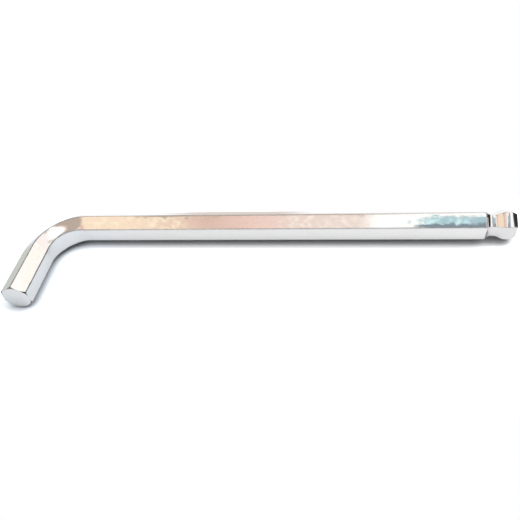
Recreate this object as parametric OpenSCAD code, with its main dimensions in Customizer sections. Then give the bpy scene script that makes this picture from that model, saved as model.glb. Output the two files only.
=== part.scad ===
// Hex key with a ball end: one bar of hexagonal section, bent once.
// The key lies on the corners of its section, on the plane z = 0. Its long arm
// runs along +X to the ball end and its short arm towards -Y to the plain end.

/* [Bar] */
// Size across the flats of the bar
across_flats = 10; // [8:0.5:12]
// How much is taken off each corner of the sharp hexagon
corner_blunt = 0.1; // [0.05:0.05:0.4]

/* [Arms] */
// Length of the long arm, from the outside of the short arm to the tip
long_arm = 182; // [120:1:240]
// Length of the short arm, from the outside of the long arm to its end
short_arm = 42; // [36:0.5:60]
// Radius of the bend, measured at the middle of the bar
bend_radius = 16; // [11:0.5:22]

/* [Plain end] */
// Length of the bevel round the end of the short arm
bevel_length = 0.5; // [0.2:0.1:1.5]
// How far the bevel comes in from the corners
bevel_width = 0.8; // [0.4:0.1:1.5]

/* [Ball end] */
// Radius of each flat of the ball, seen from the side
ball_radius = 5.6; // [5:0.1:8]
// Distance from the widest place of the ball to the tip
ball_reach = 3.2; // [2.4:0.1:3.8]
// Depth of the neck below the flats of the bar
neck_depth = 1.15; // [0.8:0.05:1.5]
// Radius of the hollow on both sides of the neck
neck_radius = 3; // [2:0.1:5]
// Length of the straight middle of the neck
neck_length = 0.7; // [0.3:0.1:4]

/* [Hidden] */
$fn = 96;

// How far a cutting shape runs past the metal that it cuts
past = 1;

flat_r = across_flats / 2;
sharp_r = flat_r / cos(30);
corner_r = sharp_r - corner_blunt;
corner_flat = corner_blunt * tan(60);

// Places on the arms, measured from where their axes would cross
tip_x = long_arm - flat_r;
end_y = short_arm - flat_r;

// Places along the ball end, worked back from the tip
ball_x = tip_x - ball_reach;
arcs_r = ball_radius + neck_radius;
neck_to_ball = sqrt(pow(arcs_r, 2) - pow(arcs_r - neck_depth, 2));
neck_end_x = ball_x - neck_to_ball;
neck_start_x = neck_end_x - neck_length;
hollow_end_x = neck_end_x + neck_to_ball * neck_radius / arcs_r;

// Heights of the arcs' centres over the axis of the bar
neck_centre_y = flat_r - neck_depth + neck_radius;
ball_centre_y = flat_r - ball_radius;

// Section of the bar: a hexagon with one corner up, each corner cut to a small flat
module section() {
    polygon([for (corner = [30:60:330], side = [-1, 1]) [
        corner_r * cos(corner) - side * corner_flat * sin(corner),
        corner_r * sin(corner) + side * corner_flat * cos(corner)
    ]]);
}

// Side view of what is taken off one flat to form the neck and the ball
module neck_and_ball_cut() {
    for (x = [neck_start_x, neck_end_x])
        translate([x, neck_centre_y]) circle(r = neck_radius);
    translate([neck_start_x, flat_r - neck_depth]) square([neck_length, neck_depth + past]);
    difference() {
        translate([hollow_end_x, 0]) square([tip_x + past - hollow_end_x, flat_r + past]);
        translate([ball_x, ball_centre_y]) circle(r = ball_radius);
    }
}

// Long arm with its ball end: the neck and the ball are cut into each of the six
// flats, so the section stays a hexagon all along them
module long_arm_bar() {
    difference() {
        translate([bend_radius, 0, 0])
            rotate([90, 0, 90]) linear_extrude(height = tip_x - bend_radius) section();
        for (turn = [0:60:300])
            rotate([turn, 0, 0]) linear_extrude(height = 2 * across_flats, center = true) neck_and_ball_cut();
    }
}

// Quarter bend, with two flats square to its plane
module bend() {
    translate([bend_radius, -bend_radius, 0])
        rotate(90) rotate_extrude(angle = 90) translate([bend_radius, 0]) section();
}

// Ring that turns the bevel on a bar of the given length, standing on z = 0
module bevel_cut(bar_length) {
    bevel_start = bar_length - bevel_length;
    face_r = corner_r - bevel_width;
    rotate_extrude() polygon([
        [face_r, bar_length],
        [corner_r, bevel_start],
        [corner_r + past, bevel_start],
        [corner_r + past, bar_length + past],
        [face_r, bar_length + past]
    ]);
}

// Short arm, drawn from the bend towards +Z, with its plain bevelled end on top
module short_arm_bar() {
    bar_length = end_y - bend_radius;
    difference() {
        linear_extrude(height = bar_length) section();
        bevel_cut(bar_length);
    }
}

module hex_key() {
    color("silver") translate([(flat_r - tip_x) / 2, (end_y - flat_r) / 2, corner_r]) {
        long_arm_bar();
        bend();
        translate([0, -bend_radius, 0]) rotate([90, 0, 0]) short_arm_bar();
    }
}

hex_key();
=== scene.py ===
"""Looks of a hex key with a ball end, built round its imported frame.

The key is one steel bar of hexagonal section. Its mesh is made in the order in which a workshop makes
such a key: a straight bar is drawn, the ball end and the bevel are turned on it, and it is bent. The
finish reads where each point lay on the straight bar, so its draw marks follow the bend.
"""

import dataclasses
import logging
import math
from dataclasses import dataclass
from enum import Enum
from typing import Any, Mapping, Sequence, Union

import bpy
from mathutils import Matrix, Vector


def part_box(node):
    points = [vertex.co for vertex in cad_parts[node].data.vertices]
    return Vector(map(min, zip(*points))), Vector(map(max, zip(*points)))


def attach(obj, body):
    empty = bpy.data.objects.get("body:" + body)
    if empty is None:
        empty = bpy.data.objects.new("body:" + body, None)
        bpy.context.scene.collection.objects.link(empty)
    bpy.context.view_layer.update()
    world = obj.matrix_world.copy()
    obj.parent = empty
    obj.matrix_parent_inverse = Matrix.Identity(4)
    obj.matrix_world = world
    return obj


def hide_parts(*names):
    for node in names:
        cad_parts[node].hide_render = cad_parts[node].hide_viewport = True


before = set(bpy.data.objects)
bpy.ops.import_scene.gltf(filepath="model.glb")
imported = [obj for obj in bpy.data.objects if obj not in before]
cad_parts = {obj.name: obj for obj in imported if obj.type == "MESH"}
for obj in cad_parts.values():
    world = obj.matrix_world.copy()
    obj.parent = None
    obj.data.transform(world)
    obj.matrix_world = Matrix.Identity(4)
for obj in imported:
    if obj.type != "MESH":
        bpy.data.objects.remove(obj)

LOG = logging.getLogger("hex_key")

MM = 0.001
NODE = "hex_key"
BODY = "root"
ENDLESS = 99.0

Operand = Union["Signal", float]
Colour = tuple[float, float, float]
Span = tuple[float, float]


@dataclass(frozen=True)
class Grain:
    """A noise pattern: what its first axis is multiplied by, and its scale, detail and roughness."""

    along: float
    scale: float
    detail: float
    roughness: float = 0.5


class Signal:
    """One output of a node, which takes part in Python expressions on values."""

    def __init__(self, bench: "Bench", node: bpy.types.Node, outlet: Union[int, str] = 0) -> None:
        """Keeps the node and, where it has one, the output that is meant.

        Args:
            bench: the bench on which the node lies.
            node: the node.
            outlet: the output, by number or name.
        """
        self.bench = bench
        self.node = node
        self.socket = node.outputs[outlet] if len(node.outputs) else None

    def outlet(self, name: Union[int, str]) -> "Signal":
        """Returns another output of the same node."""
        return Signal(self.bench, self.node, name)

    def maths(self, operation: str, *others: Operand) -> "Signal":
        """Returns a Math node of that operation on this value and the others."""
        return self.bench.maths(operation, self, *others)

    def __add__(self, other: Operand) -> "Signal":
        """Returns the sum."""
        return self.maths("ADD", other)

    def __radd__(self, other: float) -> "Signal":
        """Returns the sum, with the number first."""
        return self.maths("ADD", other)

    def __sub__(self, other: Operand) -> "Signal":
        """Returns the difference."""
        return self.maths("SUBTRACT", other)

    def __rsub__(self, other: float) -> "Signal":
        """Returns the difference, with the number first."""
        return self.bench.maths("SUBTRACT", other, self)

    def __mul__(self, other: Operand) -> "Signal":
        """Returns the product."""
        return self.maths("MULTIPLY", other)

    def __rmul__(self, other: float) -> "Signal":
        """Returns the product, with the number first."""
        return self.maths("MULTIPLY", other)

    def __truediv__(self, other: Operand) -> "Signal":
        """Returns the quotient."""
        return self.maths("DIVIDE", other)

    def __rtruediv__(self, other: float) -> "Signal":
        """Returns the quotient, with the number first."""
        return self.bench.maths("DIVIDE", other, self)

    def __pow__(self, other: Operand) -> "Signal":
        """Returns the power."""
        return self.maths("POWER", other)

    def __rpow__(self, other: float) -> "Signal":
        """Returns the power, with the number first."""
        return self.bench.maths("POWER", other, self)

    def __neg__(self) -> "Signal":
        """Returns the value with its sign turned."""
        return self.maths("MULTIPLY", -1.0)

    def __lt__(self, other: Operand) -> "Signal":
        """Returns 1 where this value is less than the other, and 0 elsewhere."""
        return self.maths("LESS_THAN", other)

    def __gt__(self, other: Operand) -> "Signal":
        """Returns 1 where this value is more than the other, and 0 elsewhere."""
        return self.maths("GREATER_THAN", other)

    def sqrt(self) -> "Signal":
        """Returns the square root, of nothing less than 0."""
        return self.maths("MAXIMUM", 0.0).maths("SQRT")

    def sin(self) -> "Signal":
        """Returns the sine."""
        return self.maths("SINE")

    def cos(self) -> "Signal":
        """Returns the cosine."""
        return self.maths("COSINE")

    def least(self, other: Operand) -> "Signal":
        """Returns the smaller of the two values."""
        return self.maths("MINIMUM", other)

    def most(self, other: Operand) -> "Signal":
        """Returns the larger of the two values."""
        return self.maths("MAXIMUM", other)

    def soft_least(self, other: Operand, width: Operand) -> "Signal":
        """Returns the smaller of the two values, rounded over the given width."""
        return self.maths("SMOOTH_MIN", other, width)

    def ramp(self, start: Operand, end: Operand, low: Operand = 0.0, high: Operand = 1.0) -> "Signal":
        """Returns a straight ramp from low at start to high at end, level outside them."""
        return self.bench.map_range("LINEAR", self, start, end, low, high)

    def fade(self, start: Operand, end: Operand, low: Operand = 0.0, high: Operand = 1.0) -> "Signal":
        """Returns a smooth ramp from low at start to high at end, level outside them."""
        return self.bench.map_range("SMOOTHSTEP", self, start, end, low, high)

    def between(self, start: float, end: float, edge: float) -> "Signal":
        """Returns 1 between start and end and 0 outside, each crossing as wide as edge."""
        rise = self.fade(start - edge / 2, start + edge / 2)
        return rise * self.fade(end - edge / 2, end + edge / 2, 1.0, 0.0)


class Bench:
    """Lays and joins the nodes of one tree."""

    FIRST_COLOUR = 6
    SECOND_COLOUR = 7
    MIXED_COLOUR = 2

    def __init__(self, tree: bpy.types.NodeTree) -> None:
        """Clears the tree, which may come with nodes of its own."""
        self.tree = tree
        self.tree.nodes.clear()

    def node(
        self,
        kind: str,
        settings: Mapping[str, Any] | None = None,
        feeds: Mapping[Union[int, str], Any] | None = None,
        outlet: Union[int, str] = 0,
    ) -> Signal:
        """Adds one node, sets it and then feeds its sockets.

        Args:
            kind: the type of the node, as Blender names it.
            settings: the node's own properties; "stops" holds a ramp's places and colours.
            feeds: the values or signals of its input sockets, by number or name.
            outlet: the output that is returned, by number or name.

        Returns:
            The output, which also leads to the node.
        """
        node = self.tree.nodes.new(kind)
        for name, value in (settings or {}).items():
            if name == "stops":
                self._set_stops(node, value)
            else:
                setattr(node, name, value)
        for name, value in (feeds or {}).items():
            socket = node.inputs[name]
            if isinstance(value, Signal):
                self.tree.links.new(value.socket, socket)
            else:
                socket.default_value = value
        return Signal(self, node, outlet)

    @staticmethod
    def _set_stops(node: bpy.types.Node, stops: Sequence[tuple[float, Colour]]) -> None:
        """Gives a colour ramp its stops.

        Args:
            node: the colour ramp.
            stops: each stop's place, from 0 to 1, and its colour.
        """
        elements = node.color_ramp.elements
        while len(elements) < len(stops):
            elements.new(1.0)
        for element, (place, colour) in zip(elements, stops):
            element.position = place
            element.color = (*colour, 1.0)

    def maths(self, operation: str, *operands: Operand) -> Signal:
        """Returns a Math node of that operation on the operands."""
        return self.node("ShaderNodeMath", {"operation": operation}, dict(enumerate(operands)))

    def map_range(
        self, kind: str, value: Signal, start: Operand, end: Operand, low: Operand, high: Operand
    ) -> Signal:
        """Adds a Map Range node, clamped at both ends.

        Args:
            kind: how it runs from one end to the other, as Blender names it.
            value: the value that is mapped.
            start: the value that gives low.
            end: the value that gives high.
            low: the result at start.
            high: the result at end.

        Returns:
            The mapped value.
        """
        return self.node(
            "ShaderNodeMapRange",
            {"interpolation_type": kind, "clamp": True},
            {"Value": value, "From Min": start, "From Max": end, "To Min": low, "To Max": high},
        )

    def vector(self, x: Operand, y: Operand, z: Operand) -> Signal:
        """Returns a vector of three values."""
        return self.node("ShaderNodeCombineXYZ", feeds={0: x, 1: y, 2: z})

    def parts(self, vector: Signal) -> tuple[Signal, Signal, Signal]:
        """Returns the three values of a vector."""
        split = self.node("ShaderNodeSeparateXYZ", feeds={0: vector})
        return split, split.outlet(1), split.outlet(2)

    def mix(self, share: Operand, first: Union[Signal, Colour], second: Union[Signal, Colour]) -> Signal:
        """Mixes two colours.

        Args:
            share: how much of the second colour is in the mix.
            first: the first colour.
            second: the second colour.

        Returns:
            The mixed colour.
        """
        feeds = {0: share, self.FIRST_COLOUR: self._opaque(first), self.SECOND_COLOUR: self._opaque(second)}
        return self.node("ShaderNodeMix", {"data_type": "RGBA"}, feeds, outlet=self.MIXED_COLOUR)

    @staticmethod
    def _opaque(colour: Union[Signal, Colour]) -> Any:
        """Returns the colour as a socket takes it, which is a plain one with a fourth value of 1."""
        return colour if isinstance(colour, Signal) else (*colour, 1.0)

    def noise(self, place: Signal, grain: Grain) -> Signal:
        """Adds the noise of a grain.

        Args:
            place: the place at which it is read.
            grain: the pattern.

        Returns:
            Smooth noise round 0.5.
        """
        factors = (grain.along, 1.0, 1.0)
        drawn = self.node("ShaderNodeVectorMath", {"operation": "MULTIPLY"}, {0: place, 1: factors})
        feeds = {"Vector": drawn, "Scale": grain.scale, "Detail": grain.detail, "Roughness": grain.roughness}
        return self.node("ShaderNodeTexNoise", {"noise_dimensions": "3D"}, feeds)


@dataclass(frozen=True)
class KeySizes:
    """Sizes of the key in metres; each is a named input of its geometry nodes."""

    long_arm: float
    short_arm: float
    corner_reach: float
    across_flats: float = 10.0 * MM
    bend_radius: float = 16.0 * MM
    ball_radius: float = 5.6 * MM
    ball_reach: float = 3.2 * MM
    neck_depth: float = 1.15 * MM
    neck_radius: float = 3.0 * MM
    neck_length: float = 0.7 * MM
    bevel_length: float = 0.5 * MM
    bevel_width: float = 0.8 * MM
    crisp_corner: float = 0.2 * MM
    edge_round: float = 0.15 * MM
    shoulder_round: float = 0.08 * MM

    @classmethod
    def from_box(cls, low: Vector, high: Vector) -> "KeySizes":
        """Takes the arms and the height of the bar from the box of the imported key."""
        return cls(long_arm=high.x - low.x, short_arm=high.y - low.y, corner_reach=(high.z - low.z) / 2)

    def turned_from(self) -> float:
        """Works out where the turned ball end starts.

        Returns:
            Its distance along the straight bar, in metres.
        """
        flat_reach = self.across_flats / 2
        straight = self.long_arm + self.short_arm - 2 * flat_reach - 2 * self.bend_radius
        arcs = self.ball_radius + self.neck_radius
        neck_to_ball = math.sqrt(arcs**2 - (arcs - self.neck_depth) ** 2)
        hollow = math.sqrt(self.neck_radius**2 - (self.neck_radius - self.neck_depth) ** 2)
        bend = math.pi / 2 * self.bend_radius
        return straight + bend - self.ball_reach - neck_to_ball - self.neck_length - hollow

    @staticmethod
    def label(name: str) -> str:
        """Returns the words on the input for a field."""
        return name.replace("_", " ").title()


class Stretch(Enum):
    """The stretches of the bar from the plain end to the tip, each with its number of rings of points."""

    END_FACE = (1, 4)
    END_EDGE = (2, 5)
    BEVEL = (3, 8)
    BEVEL_RIM = (4, 2)
    SHORT_ARM = (5, 12)
    BEND = (6, 60)
    LONG_ARM = (7, 30)
    SHOULDER_RIM = (8, 2)
    SHOULDER = (9, 22)
    NECK = (10, 3)
    RISE = (11, 14)
    BALL = (12, 40)
    TIP_EDGE = (13, 5)
    TIP_FACE = (14, 4)

    def __init__(self, order: int, rings: int) -> None:
        """Keeps the stretch's place in the order and its number of rings."""
        self.order = order
        self.rings = rings


class DrawnBar:
    """Geometry nodes that draw, turn and bend the bar."""

    FLAT_STEPS = 8
    CORNER_STEPS = 6
    SIDES = 6
    CROWN = math.radians(1.2)
    SWELL = 0.25
    MERGE = 0.001 * MM
    RIM_ROUNDS = 3.0
    HALF_STEP = 0.5

    def __init__(self, sizes: KeySizes, corner: Vector) -> None:
        """Makes the tree's inputs.

        Args:
            sizes: the sizes of the key.
            corner: where the lowest corner of the key's box lies on the left, near and low side.
        """
        self.sizes = sizes
        self.corner = corner
        self.bench = Bench(bpy.data.node_groups.new("bent_hexagonal_bar", "GeometryNodeTree"))
        interface = self.bench.tree.interface
        self.identifiers = {}
        for field in dataclasses.fields(sizes):
            socket = interface.new_socket(KeySizes.label(field.name), socket_type="NodeSocketFloat")
            self.identifiers[field.name] = socket.identifier
        self.finish_identifier = interface.new_socket("Finish", socket_type="NodeSocketMaterial").identifier
        interface.new_socket("Bar", in_out="OUTPUT", socket_type="NodeSocketGeometry")
        inputs = self.bench.node("NodeGroupInput")
        self.size = {name: inputs.outlet(KeySizes.label(name)) for name in self.identifiers}
        self.finish = inputs.outlet("Finish")
        self.flat_reach = self.size["across_flats"] / 2
        self.points_round = self.SIDES * (2 * self.FLAT_STEPS + self.CORNER_STEPS)
        self._place_ball_end()

    def _place_ball_end(self) -> None:
        """Works out where the parts of the ball end lie, as distances from the tip."""
        arcs = self.size["ball_radius"] + self.size["neck_radius"]
        drop = arcs - self.size["neck_depth"]
        neck_to_ball = (arcs * arcs - drop * drop).sqrt()
        self.neck_centre = self.flat_reach - self.size["neck_depth"] + self.size["neck_radius"]
        rise = self.neck_centre - self.flat_reach
        self.neck_front = self.size["ball_reach"] + neck_to_ball
        self.neck_back = self.neck_front + self.size["neck_length"]
        self.shoulder = self.neck_back + (self.size["neck_radius"] ** 2.0 - rise * rise).sqrt()
        self.ball_start = self.neck_front - neck_to_ball * self.size["neck_radius"] / arcs

    def build(self) -> None:
        """Lays the whole tree, from the flat grid to the bent and dressed bar."""
        ring, point = self._grid_places()
        along, total, shrink = self._along_the_bar(ring)
        to_tip = total - along
        across, up = self._outline(point, self._flat_reach_at(to_tip))
        across, up = self._finish_ends(across, up, along, to_tip, shrink)
        bent = self._bend(along, across, up)
        straight = self.bench.vector(along, across, up)
        self._assemble(bent, straight)

    def _grid_places(self) -> tuple[Signal, Signal]:
        """Numbers the vertices of the grid.

        Returns:
            The number of each vertex's ring, and its number on that ring.
        """
        row = float(self.points_round + 1)
        index = self.bench.node("GeometryNodeInputIndex")
        ring = (index / row).maths("FLOOR")
        return ring, index - ring * row

    def _along_the_bar(self, ring: Signal) -> tuple[Signal, Signal, Signal]:
        """Spaces the rings along the straight bar.

        Args:
            ring: the number of the ring.

        Returns:
            The distance along the bar, the bar's whole length, and the share to which a ring inside an end
            face is shrunk.
        """
        size = self.size
        quarter = size["bend_radius"] * (math.pi / 2)
        short_straight = size["short_arm"] - self.flat_reach - size["bend_radius"]
        long_straight = size["long_arm"] - self.flat_reach - size["bend_radius"]
        self.bend_start = short_straight
        self.bend_end = short_straight + quarter
        total = self.bend_end + long_straight
        stops = {
            Stretch.END_FACE: 0.0,
            Stretch.END_EDGE: size["edge_round"],
            Stretch.BEVEL: size["bevel_length"] + size["edge_round"],
            Stretch.BEVEL_RIM: size["bevel_length"] + size["edge_round"] * self.RIM_ROUNDS,
            Stretch.SHORT_ARM: self.bend_start,
            Stretch.BEND: self.bend_end,
            Stretch.LONG_ARM: total - self.shoulder - size["edge_round"] * self.RIM_ROUNDS,
            Stretch.SHOULDER_RIM: total - self.shoulder - size["shoulder_round"],
            Stretch.SHOULDER: total - self.neck_back,
            Stretch.NECK: total - self.neck_front,
            Stretch.RISE: total - self.ball_start,
            Stretch.BALL: total - size["edge_round"],
            Stretch.TIP_EDGE: total,
            Stretch.TIP_FACE: total,
        }
        along: Operand = 0.0
        reached: Operand = 0.0
        first = 0
        for stretch, stop in stops.items():
            last = first + stretch.rings
            along = ring.ramp(first, last, 0.0, stop - reached) + along
            reached = stop
            first = last
        opened = ring.ramp(0.0, Stretch.END_FACE.rings)
        closed = ring.ramp(first - Stretch.TIP_FACE.rings, first, 1.0, 0.0)
        return along, total, opened * closed

    def _flat_reach_at(self, to_tip: Signal) -> Signal:
        """Follows the hollows, the neck and the ball along the bar.

        Args:
            to_tip: the distance from the tip.

        Returns:
            How far the flats lie from the bar's axis there.
        """
        size = self.size
        beside = (to_tip - to_tip.most(self.neck_front).least(self.neck_back)).maths("ABSOLUTE")
        beside = beside.least(size["neck_radius"])
        hollow = self.neck_centre - (size["neck_radius"] ** 2.0 - beside * beside).sqrt()
        from_widest = to_tip - size["ball_reach"]
        ball_height = (size["ball_radius"] ** 2.0 - from_widest * from_widest).sqrt()
        ball = self.flat_reach - size["ball_radius"] + ball_height
        on_ball = to_tip < self.ball_start
        turned = on_ball * ball + (1.0 - on_ball) * self.flat_reach.soft_least(hollow, size["shoulder_round"])
        return turned.least(self.flat_reach)

    def _outline(self, point: Signal, reach: Signal) -> tuple[Signal, Signal]:
        """Places a point on the section: six slightly crowned flats that run into small round corners.

        Args:
            point: the number of the point on its ring.
            reach: how far the flats lie from the axis.

        Returns:
            The point's place across the bar, outwards from the bend, and up.
        """
        half = math.pi / self.SIDES
        sweep = half - self.CROWN
        slope = (math.cos(sweep) - math.cos(half)) / (math.sin(half) - math.sin(sweep))
        reach_share = math.cos(half) + slope * math.sin(half)
        corner_share = 1.0 - math.cos(sweep) - slope * math.sin(sweep)
        corner = (self.size["corner_reach"] - reach * reach_share) / corner_share
        corner = corner.most(self.size["crisp_corner"])
        crown = (reach * math.sin(half) - corner * math.sin(sweep)) / (math.sin(half) - math.sin(sweep))
        corner_centre = (reach - crown) * math.cos(half) + (crown - corner) * math.cos(sweep)

        steps = float(2 * self.FLAT_STEPS + self.CORNER_STEPS)
        side = (point / steps).maths("FLOOR")
        step = point - side * steps
        flat_end = float(self.FLAT_STEPS)
        corner_end = flat_end + self.CORNER_STEPS
        turn = (
            step.ramp(0.0, flat_end, -half, -sweep)
            + step.ramp(flat_end, corner_end, 0.0, 2 * sweep)
            + step.ramp(corner_end, steps, 0.0, self.CROWN)
        )
        on_corner = (step > flat_end - self.HALF_STEP) * (step < corner_end + self.HALF_STEP)
        on_flat = 1.0 - on_corner
        middle = side * (2 * half) + half
        centre_angle = middle + on_flat * turn.maths("SIGN") * half
        centre_reach = on_corner * corner_centre + on_flat * (reach - crown)
        radius = on_corner * corner + on_flat * crown
        angle = middle + turn
        across = centre_reach * centre_angle.cos() + radius * angle.cos()
        up = centre_reach * centre_angle.sin() + radius * angle.sin()
        return across, up

    def _finish_ends(
        self, across: Signal, up: Signal, along: Signal, to_tip: Signal, shrink: Signal
    ) -> tuple[Signal, Signal]:
        """Turns the bevel on the plain end, rounds the edges of both end faces and closes the faces.

        Args:
            across: the point's place across the bar, outwards from the bend.
            up: the point's place up from the bar's axis.
            along: its distance along the straight bar.
            to_tip: its distance from the tip.
            shrink: the share to which a ring inside an end face is shrunk.

        Returns:
            The point's new place across the bar, and up.
        """
        size = self.size
        reach = (across * across + up * up).sqrt()
        slope = size["bevel_width"] / size["bevel_length"]
        cone = size["corner_reach"] - size["bevel_width"] + along * slope
        bevelled = reach.soft_least(cone, size["edge_round"])
        rounded = bevelled - self._edge_drop(along) - self._edge_drop(to_tip)
        scale = rounded / reach * shrink
        return across * scale, up * scale

    def _edge_drop(self, from_face: Signal) -> Signal:
        """Rounds the edge of an end face.

        Args:
            from_face: the distance from the end face.

        Returns:
            How far the edge falls in there.
        """
        radius = self.size["edge_round"]
        inside = radius - from_face.least(radius)
        return radius - (radius * radius - inside * inside).sqrt()

    def _bend(self, along: Signal, across: Signal, up: Signal) -> Signal:
        """Bends the straight bar by a quarter turn, with the metal on the inside pushed a little apart.

        Args:
            along: the distance along the straight bar.
            across: the place across it, outwards from the bend.
            up: the place up from its axis.

        Returns:
            The place on the bent bar.
        """
        radius = self.size["bend_radius"]
        angle = (along - self.bend_start).most(0.0) / radius
        angle = angle.least(math.pi / 2)
        inwards = -across / self.flat_reach
        swollen = (angle * 2.0).sin() * self.SWELL * inwards * inwards.maths("ABSOLUTE")
        up = up * (1.0 + swollen)
        before = (along - self.bend_start).least(0.0)
        after = (along - self.bend_end).most(0.0)
        centre_x = self.flat_reach + radius + self.corner.x
        centre_y = self.size["short_arm"] - self.flat_reach - radius + self.corner.y
        x = centre_x - (radius + across) * angle.cos() + after
        y = centre_y + (radius + across) * angle.sin() + before
        return self.bench.vector(x, y, self.size["corner_reach"] + up + self.corner.z)

    def _assemble(self, bent: Signal, straight: Signal) -> None:
        """Moves a flat grid to the bent bar, closes its seam and ends, and gives it its finish.

        Args:
            bent: the place of each vertex on the bent bar.
            straight: its place on the straight bar, which the finish reads.
        """
        bench = self.bench
        rings = sum(stretch.rings for stretch in Stretch)
        counts = {"Vertices X": rings + 1, "Vertices Y": self.points_round + 1}
        grid = bench.node("GeometryNodeMeshGrid", feeds=counts)
        stored = bench.node(
            "GeometryNodeStoreNamedAttribute",
            {"data_type": "FLOAT_VECTOR", "domain": "POINT"},
            {"Geometry": grid, "Name": PlatedSteel.PLACE, "Value": straight},
        )
        placed = bench.node("GeometryNodeSetPosition", feeds={"Geometry": stored, "Position": bent})
        turned = bench.node("GeometryNodeFlipFaces", feeds={"Mesh": placed})
        merged = bench.node("GeometryNodeMergeByDistance", feeds={"Geometry": turned, "Distance": self.MERGE})
        smooth = bench.node("GeometryNodeSetShadeSmooth", feeds={"Geometry": merged})
        real = bench.node("GeometryNodeRealizeInstances", feeds={"Geometry": smooth})
        dressed = bench.node("GeometryNodeSetMaterial", feeds={"Geometry": real, "Material": self.finish})
        bench.node("NodeGroupOutput", feeds={"Bar": dressed})


@dataclass(frozen=True)
class PlatedSteel:
    """Bright plating over drawn steel, with painted dark reflections on its ridges and at its bevel corners.
    Its patterns are laid in millimetres on the straight bar.
    """

    PLACE = "straight_bar"

    light: Colour = (0.86, 0.855, 0.845)
    dull: Colour = (0.78, 0.77, 0.75)
    turned: Colour = (0.80, 0.79, 0.785)
    # The ridge colour and the settings below it paint a dark reflection along the rounded corners between the
    # flats: strongest on the short arm and the bend, weaker along the long arm.
    ridge: Colour = (0.24, 0.235, 0.23)
    ridge_reflection_band: Span = (0.14 * MM, 0.035 * MM)
    ridge_reflection_fade: Span = (25.0 * MM, 60.0 * MM)
    ridge_reflection_rest: float = 0.33
    ridge_reflection_noise: Span = (0.35, 0.65)
    ridge_reflection_share: Span = (0.35, 0.90)
    # The bevel colour and the settings below it paint a nearly black reflection on the bevel at the corners
    # of the section.
    bevel: Colour = (0.10, 0.10, 0.105)
    bevel_reflection_band: Span = (-0.14 * MM, -0.05 * MM)
    bevel_reflection_corner: Span = (0.75 * MM, 0.35 * MM)
    bevel_reflection_share: float = 0.95
    roughness: float = 0.02
    worn_roughness: float = 0.07
    mark_roughness: float = 0.02
    wave_height: float = 0.012 * MM
    mark_height: float = 0.0003 * MM
    turned_edge: float = 1.0 * MM
    cloud_fade: Span = (0.45, 0.75)
    rub_fade: Span = (0.35, 0.75)
    cloud: Grain = Grain(0.25, 0.35, 3.0)
    rubs: Grain = Grain(0.6, 1.2, 4.0, 0.6)
    marks: Grain = Grain(0.02, 9.0, 2.0)
    waves: Grain = Grain(0.35, 0.4, 2.0)

    def material(self, sizes: KeySizes) -> bpy.types.Material:
        """Makes the material of the whole key.

        Args:
            sizes: the sizes of the key, which say where its ball end, ridges and bevel lie.

        Returns:
            The material, with draw marks and rubs that follow the bend, and painted dark reflections on the
            ridges and at the bevel corners.
        """
        material = bpy.data.materials.new("bright_plated_steel")
        material.use_nodes = True
        bench = Bench(material.node_tree)
        place = bench.node("ShaderNodeAttribute", {"attribute_name": self.PLACE}, outlet="Vector")
        in_mm = bench.node("ShaderNodeVectorMath", {"operation": "SCALE"}, {0: place, "Scale": 1.0 / MM})
        grains = (self.cloud, self.rubs, self.marks, self.waves)
        cloud, rubs, marks, waves = (bench.noise(in_mm, grain) for grain in grains)
        worn = cloud.fade(*self.cloud_fade) * rubs.fade(*self.rub_fade)
        colour = bench.mix(worn, self.light, self.dull)
        colour = self._ends_and_ridges(sizes, bench.parts(place), rubs, colour)
        roughness = worn * self.worn_roughness + marks * self.mark_roughness + self.roughness
        height = waves * self.wave_height + marks * self.mark_height
        bump = bench.node("ShaderNodeBump", feeds={"Strength": 1.0, "Distance": 1.0, "Height": height})
        shader = bench.node(
            "ShaderNodeBsdfPrincipled",
            feeds={"Base Color": colour, "Metallic": 1.0, "Roughness": roughness, "Normal": bump},
        )
        bench.node("ShaderNodeOutputMaterial", feeds={"Surface": shader})
        return material

    def _ends_and_ridges(
        self, sizes: KeySizes, place: tuple[Signal, Signal, Signal], rubs: Signal, colour: Signal
    ) -> Signal:
        """Paints a dark reflection along the ridges and at the corners of the bevel, and greys the turned
        ball end.

        Args:
            sizes: the sizes of the key.
            place: where the point lay on the straight bar: along it, across it and up.
            rubs: the noise of the rubs, which also breaks up the painted dark reflection along the ridges.
            colour: the colour of the flats.

        Returns:
            The colour of the whole key.
        """
        bench = colour.bench
        along, across, up = place
        reach = (across * across + up * up).sqrt()
        below_ridge = sizes.corner_reach - reach
        # Painted dark reflection along the ridges, broken up by the rubs noise and weaker past the bend.
        uneven = rubs.ramp(*self.ridge_reflection_noise, *self.ridge_reflection_share)
        less_past_bend = along.fade(*self.ridge_reflection_fade, 1.0, self.ridge_reflection_rest)
        on_ridge_reflection = below_ridge.fade(*self.ridge_reflection_band) * uneven * less_past_bend
        # Painted dark reflection on the bevel, strongest at the corners of the section.
        cone = along * (sizes.bevel_width / sizes.bevel_length) + (sizes.corner_reach - sizes.bevel_width)
        on_bevel_reflection = (reach - cone).fade(*self.bevel_reflection_band) * below_ridge.fade(*self.bevel_reflection_corner)
        turned_from = sizes.turned_from()
        on_ball = along.fade(turned_from, turned_from + self.turned_edge)
        colour = bench.mix(on_ridge_reflection, colour, self.ridge)
        colour = bench.mix(on_bevel_reflection * self.bevel_reflection_share, colour, self.bevel)
        return bench.mix(on_ball, colour, self.turned)


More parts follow.
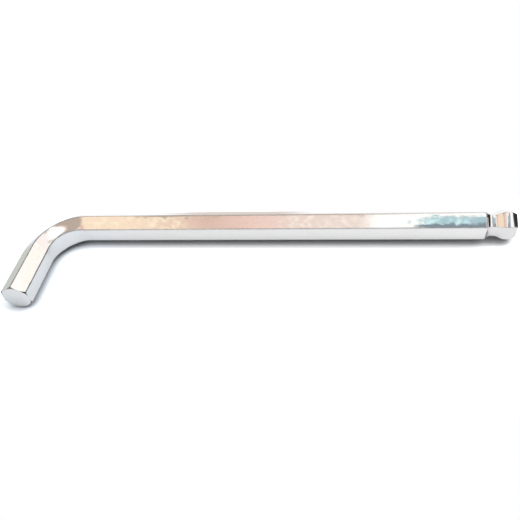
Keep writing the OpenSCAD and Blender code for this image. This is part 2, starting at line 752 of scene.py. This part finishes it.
@dataclass
class HexKey:
    """The bent key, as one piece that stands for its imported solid."""

    low: Vector
    high: Vector

    def build(self) -> bpy.types.Object:
        """Makes the mesh with geometry nodes, turns it into a plain mesh and joins it to the frame.

        Returns:
            The dressed key.
        """
        sizes = KeySizes.from_box(self.low, self.high)
        bar = DrawnBar(sizes, self.low)
        bar.build()
        finish = PlatedSteel().material(sizes)
        piece = bpy.data.objects.new("bent_bar", bpy.data.meshes.new("bent_bar"))
        bpy.context.scene.collection.objects.link(piece)
        modifier = piece.modifiers.new("bar", "NODES")
        modifier.node_group = bar.bench.tree
        for name, identifier in bar.identifiers.items():
            modifier[identifier] = getattr(sizes, name)
        modifier[bar.finish_identifier] = finish
        evaluated = piece.evaluated_get(bpy.context.evaluated_depsgraph_get())
        mesh = bpy.data.meshes.new_from_object(evaluated)
        piece.modifiers.clear()
        piece.data = mesh
        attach(piece, BODY)
        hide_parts(NODE)
        return piece


@dataclass(frozen=True)
class CeilingPanel:
    """A patch of the surroundings, as it lies on a ceiling one unit above the key.

    Its border is as soft as edge and as uneven as ragged says, and a patchy one is broken into spots.
    """

    left: float
    right: float
    near: float
    far: float
    colour: Colour
    edge: float = 0.1
    ragged: float = 1.0
    patchy: bool = False


@dataclass(frozen=True)
class Surroundings:
    """What the plated faces mirror: a pale room with a warm left side, a cool patch and dark bands.

    The side stops run from left to right on the ceiling, and each panel lies over those before it. The
    low colours lie below the horizon, past the edges of the sheet.
    """

    WHITE = (1.0, 1.0, 1.0, 1.0)
    NOISE_MIDDLE = 0.5

    side_stops: tuple[tuple[float, Colour], ...] = (
        (-2.0, (0.80, 0.64, 0.52)),
        (-0.60, (0.87, 0.70, 0.54)),
        (-0.49, (0.86, 0.68, 0.53)),
        (-0.41, (0.84, 0.65, 0.51)),
        (-0.26, (0.65, 0.46, 0.385)),
        (-0.16, (0.78, 0.57, 0.505)),
        (-0.04, (0.74, 0.62, 0.55)),
        (0.040, (0.76, 0.64, 0.58)),
        (0.065, (0.95, 0.93, 0.91)),
        (2.0, (0.96, 0.95, 0.97)),
    )
    panels: tuple[CeilingPanel, ...] = (
        CeilingPanel(-0.56, -0.30, -0.36, -0.10, (0.90, 0.78, 0.58), 0.04, 1.0, True),
        CeilingPanel(-0.10, 0.06, -0.34, -0.12, (0.86, 0.77, 0.71), 0.02, 1.0, True),
        CeilingPanel(-0.40, -0.20, -0.17, 9.0, (0.46, 0.35, 0.28), 0.03, 1.6),
        CeilingPanel(-0.38, 0.12, -0.16, 0.10, (0.44, 0.36, 0.31), 0.05, 2.5),
        CeilingPanel(-0.30, 0.20, 0.12, 0.42, (0.98, 0.97, 0.96), 0.05),
        CeilingPanel(0.15, 0.23, -0.10, 0.34, (0.50, 0.44, 0.34), 0.03, 2.5),
        CeilingPanel(0.10, 0.90, 0.30, 0.62, (0.88, 0.80, 0.78), 0.10),
        CeilingPanel(0.10, 0.90, 0.66, 0.90, (0.90, 0.87, 0.82), 0.10),
        CeilingPanel(-0.90, -0.02, 0.50, 1.20, (0.15, 0.145, 0.14), 0.10),
        CeilingPanel(0.150, 0.30, -0.40, -0.205, (0.36, 0.53, 0.57), 0.010),
        CeilingPanel(0.158, 0.26, -0.40, -0.215, (0.62, 0.83, 0.85), 0.015, 1.0, True),
        CeilingPanel(0.256, 0.30, -0.40, -0.215, (0.38, 0.49, 0.56), 0.020),
        CeilingPanel(0.145, 0.30, -0.60, -0.264, (0.20, 0.25, 0.285), 0.010),
        CeilingPanel(0.29, 0.50, -0.60, -0.12, (0.40, 0.39, 0.39), 0.03),
        CeilingPanel(-ENDLESS, ENDLESS, 1.10, ENDLESS, (0.60, 0.60, 0.62), 0.20),
        CeilingPanel(-ENDLESS, ENDLESS, 1.10, 1.45, (0.10, 0.10, 0.11), 0.10),
        CeilingPanel(-ENDLESS, ENDLESS, -ENDLESS, -0.40, (0.62, 0.62, 0.63), 0.10),
        CeilingPanel(-0.30, 1.15, -0.90, -0.39, (0.20, 0.20, 0.205), 0.10),
        CeilingPanel(-1.15, -0.30, -1.20, -0.36, (0.50, 0.43, 0.38), 0.15),
        CeilingPanel(-ENDLESS, -1.15, -ENDLESS, ENDLESS, (0.58, 0.57, 0.56), 0.20),
        CeilingPanel(1.15, ENDLESS, -ENDLESS, ENDLESS, (0.60, 0.60, 0.62), 0.20),
        CeilingPanel(0.75, ENDLESS, 0.95, ENDLESS, (0.26, 0.26, 0.27), 0.10),
        CeilingPanel(1.00, ENDLESS, -0.14, 1.60, (0.03, 0.03, 0.035), 0.20),
        CeilingPanel(4.00, ENDLESS, 1.20, 6.00, (0.03, 0.03, 0.035), 0.40),
    )
    low_back: Colour = (0.85, 0.85, 0.86)
    low_back_left: Colour = (0.62, 0.56, 0.52)
    low_left: Colour = (0.50, 0.52, 0.49)
    low_right: Colour = (0.03, 0.03, 0.035)
    low_side: Colour = (0.55, 0.55, 0.56)
    strength: float = 1.3
    span: float = 2.0
    overhead: float = 1.0
    broad: Grain = Grain(1.0, 22.0, 4.0, 0.6)
    broad_reach: float = 0.05
    fine: Grain = Grain(5.0, 18.0, 3.0, 0.6)
    fine_reach: float = 0.16
    depth_share: float = 0.6
    patch_fade: Span = (0.47, 0.60)
    flattest: float = 0.05
    low_fade: Span = (-0.06, -0.01)
    low_turn: Span = (-0.2, 0.2)
    low_side_fade: Span = (0.87, 0.93)
    low_back_fade: Span = (0.65, 0.85)
    low_back_left_edges: tuple[float, float, float] = (-0.30, -0.08, 0.08)
    sky_fade: Span = (0.4, 0.8)

    def build(self) -> None:
        """Makes the world: white to the camera, a soft sky over matt surfaces, and the room in mirrors."""
        world = bpy.data.worlds.new("studio")
        bpy.context.scene.world = world
        world.use_nodes = True
        bench = Bench(world.node_tree)
        direction = bench.parts(bench.node("ShaderNodeTexCoord", outlet="Generated"))
        room = self._below(bench, direction, self._above(bench, direction))
        mirrored = bench.node("ShaderNodeBackground", feeds={"Color": room, "Strength": self.strength})
        brightness = direction[2].fade(*self.sky_fade) * self.overhead
        sky = bench.node("ShaderNodeBackground", feeds={"Color": self.WHITE, "Strength": brightness})
        seen = bench.node("ShaderNodeBackground", feeds={"Color": self.WHITE, "Strength": 1.0})
        rays = bench.node("ShaderNodeLightPath", outlet="Is Camera Ray")
        glossy = rays.outlet("Is Glossy Ray")
        shown = bench.node("ShaderNodeMixShader", feeds={0: rays, 1: sky, 2: seen})
        shown = bench.node("ShaderNodeMixShader", feeds={0: glossy, 1: shown, 2: mirrored})
        bench.node("ShaderNodeOutputWorld", feeds={"Surface": shown})

    def _above(self, bench: Bench, direction: tuple[Signal, Signal, Signal]) -> Signal:
        """Lays out the ceiling: the side stops from left to right, and the panels on them.

        Args:
            bench: the bench of the world.
            direction: the three parts of the direction in which a mirror ray leaves.

        Returns:
            The colour of the room above the horizon.
        """
        x, y, z = direction
        height = z.most(self.flattest)
        side = x / height
        depth = y / height
        stops = [((place + self.span) / (2 * self.span), colour) for place, colour in self.side_stops]
        place = side.ramp(-self.span, self.span)
        room = bench.node("ShaderNodeValToRGB", {"stops": stops}, {0: place})
        ceiling = bench.vector(side, depth, 0.0)
        broad = bench.noise(ceiling, self.broad)
        fine = bench.noise(ceiling, self.fine)
        ragged = (broad - self.NOISE_MIDDLE) * self.broad_reach
        ragged = ragged + (fine - self.NOISE_MIDDLE) * self.fine_reach
        patches = fine.fade(*self.patch_fade)
        for panel in self.panels:
            shift = ragged * panel.ragged
            mask = (side + shift).between(panel.left, panel.right, panel.edge)
            mask = mask * (depth + shift * self.depth_share).between(panel.near, panel.far, panel.edge)
            if panel.patchy:
                mask = mask * patches
            room = bench.mix(mask, room, panel.colour)
        return room

    def _below(self, bench: Bench, direction: tuple[Signal, Signal, Signal], above: Signal) -> Signal:
        """Adds what lies below the horizon, past the edge of the sheet.

        Args:
            bench: the bench of the world.
            direction: the three parts of the direction in which a mirror ray leaves.
            above: the colour of the room above the horizon.

        Returns:
            The colour of the whole room.
        """
        x, y, z = direction
        low = bench.mix(x.fade(*self.low_turn), self.low_left, self.low_right)
        low = bench.mix(x.fade(*self.low_side_fade), low, self.low_side)
        low_back = bench.mix(x.between(*self.low_back_left_edges), self.low_back, self.low_back_left)
        low = bench.mix(y.fade(*self.low_back_fade), low, low_back)
        return bench.mix(z.fade(*self.low_fade, 1.0, 0.0), above, low)


@dataclass(frozen=True)
class PaleSheet:
    """The white sheet that the key lies on, with its edges in metres from the middle of the key."""

    left: float = -0.125
    right: float = 0.100
    near: float = -0.055
    far: float = 0.037
    tint: Colour = (0.985, 0.995, 1.015)
    cool_tint: Colour = (0.955, 1.005, 1.065)
    cool_fade: Span = (-0.072, -0.045)
    matt: float = 0.87
    shown: float = 1.6
    contact: float = 4.0 * MM
    shadow_samples: int = 16

    def build(self) -> bpy.types.Object:
        """Makes the sheet, which is bright enough to be white to the camera and keeps the key's shadow.

        Returns:
            The sheet, as a part of the stage.
        """
        near_side = [(self.left, self.near, 0.0), (self.right, self.near, 0.0)]
        far_side = [(self.right, self.far, 0.0), (self.left, self.far, 0.0)]
        mesh = bpy.data.meshes.new("sheet")
        mesh.from_pydata(near_side + far_side, [], [(0, 1, 2, 3)])
        sheet = bpy.data.objects.new("sheet", mesh)
        bpy.context.scene.collection.objects.link(sheet)
        mesh.materials.append(self._material())
        return sheet

    def _material(self) -> bpy.types.Material:
        """Makes a matt white that the camera sees brighter than the key does, with a contact shadow.

        Returns:
            The material of the sheet.
        """
        material = bpy.data.materials.new("white_sheet")
        material.use_nodes = True
        bench = Bench(material.node_tree)
        rays = bench.node("ShaderNodeLightPath", outlet="Is Camera Ray")
        samples = {"samples": self.shadow_samples}
        open_sky = bench.node("ShaderNodeAmbientOcclusion", samples, {"Distance": self.contact}, "AO")
        seen = open_sky * self.shown
        level = rays * (seen - self.matt) + self.matt
        x = bench.parts(bench.node("ShaderNodeTexCoord", outlet="Object"))[0]
        tint = bench.mix(x.fade(*self.cool_fade), self.cool_tint, self.tint)
        colour = bench.node("ShaderNodeVectorMath", {"operation": "SCALE"}, {0: tint, "Scale": level})
        matt = bench.node("ShaderNodeBsdfDiffuse", feeds={"Color": colour})
        bench.node("ShaderNodeOutputMaterial", feeds={"Surface": matt})
        return material


@dataclass(frozen=True)
class SoftLamp:
    """A large soft lamp on the right, kept out of the mirror faces."""

    place: tuple[float, float, float] = (0.66, 0.22, 0.8)
    width: float = 0.6
    power: float = 6.7

    def build(self) -> bpy.types.Object:
        """Makes the lamp and turns it towards the key.

        Returns:
            The lamp.
        """
        data = bpy.data.lights.new("soft_lamp", "AREA")
        data.shape = "SQUARE"
        data.size = self.width
        data.energy = self.power
        lamp = bpy.data.objects.new("soft_lamp", data)
        lamp.location = self.place
        lamp.rotation_euler = (-Vector(self.place)).to_track_quat("-Z", "Y").to_euler()
        lamp.visible_glossy = False
        bpy.context.scene.collection.objects.link(lamp)
        return lamp


@dataclass(frozen=True)
class PhotoCamera:
    """The camera of the photograph, fitted to the edges of the key. Its place is in metres."""

    place: tuple[float, float, float] = (29.4703 * MM, -128.2175 * MM, 143.2628 * MM)
    pitch_deg: float = 46.7446
    yaw_deg: float = 12.7012
    roll_deg: float = -9.1277
    focal_pixels: float = 524.4843
    picture_pixels: float = 520.0
    sensor_mm: float = 36.0

    def build(self) -> bpy.types.Object:
        """Makes the camera and gives it to the scene.

        Returns:
            The camera.
        """
        pitch = math.radians(self.pitch_deg)
        yaw = math.radians(self.yaw_deg)
        roll = math.radians(self.roll_deg)
        level = Vector((math.cos(yaw), math.sin(yaw), 0.0))
        ahead = Vector((-math.sin(yaw), math.cos(yaw), 0.0))
        forward = ahead * math.cos(pitch) + Vector((0.0, 0.0, -math.sin(pitch)))
        raised = level.cross(forward)
        right = level * math.cos(roll) + raised * math.sin(roll)
        up = raised * math.cos(roll) - level * math.sin(roll)
        data = bpy.data.cameras.new("camera")
        data.sensor_width = self.sensor_mm
        data.lens = self.focal_pixels / self.picture_pixels * self.sensor_mm
        data.clip_start = MM
        camera = bpy.data.objects.new("camera", data)
        turned = Matrix((right, up, -forward)).transposed()
        camera.matrix_world = Matrix.Translation(self.place) @ turned.to_4x4()
        bpy.context.scene.collection.objects.link(camera)
        bpy.context.scene.camera = camera
        return camera


def main() -> None:
    """Builds the key, what it lies on, the light and the camera."""
    logging.basicConfig(level=logging.INFO, format="%(name)s: %(message)s")
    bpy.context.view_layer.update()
    low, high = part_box(NODE)
    piece = HexKey(low, high).build()
    LOG.info("%s has %d faces", piece.name, len(piece.data.polygons))
    for stage_part in (PaleSheet(), SoftLamp(), PhotoCamera()):
        LOG.info("%s is in place", stage_part.build().name)
    Surroundings().build()
    bpy.context.scene.view_settings.view_transform = "Standard"


if __name__ == "__main__":
    main()
